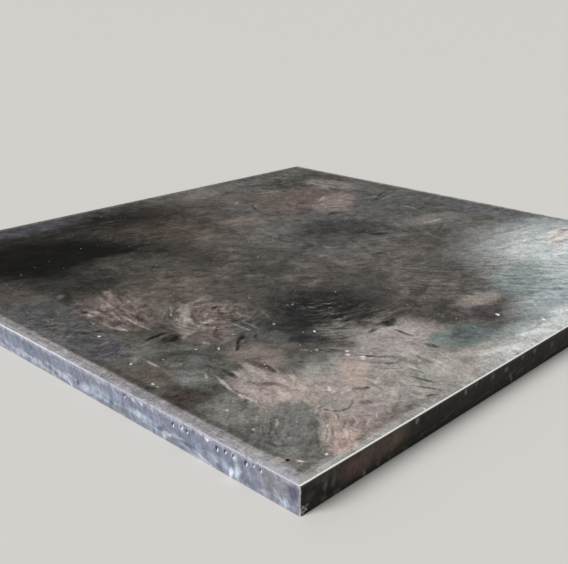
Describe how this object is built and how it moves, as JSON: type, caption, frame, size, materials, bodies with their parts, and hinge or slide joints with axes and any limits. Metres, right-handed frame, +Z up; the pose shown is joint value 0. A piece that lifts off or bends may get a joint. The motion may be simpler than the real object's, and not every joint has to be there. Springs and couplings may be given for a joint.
{
  "type": "steel plate",
  "caption": "Thick hot-rolled steel plate with mill scale, gently sloped shoulders and flame-cut sides, stored lying flat.",
  "frame": {"origin": "middle of the flat underside", "axes": "+X along the longer sides, +Y along the shorter sides, +Z up through the thickness; the gouged cut side faces -X"},
  "size_m": [1.7, 1.6, 0.055],
  "materials": {
    "hot_rolled_steel": "worn mill scale with rust bloom on the top, bright blue-grey flame-cut sides"
  },
  "bodies": {
    "root": {"steel_plate": "hot_rolled_steel"}
  },
  "joints": []
}
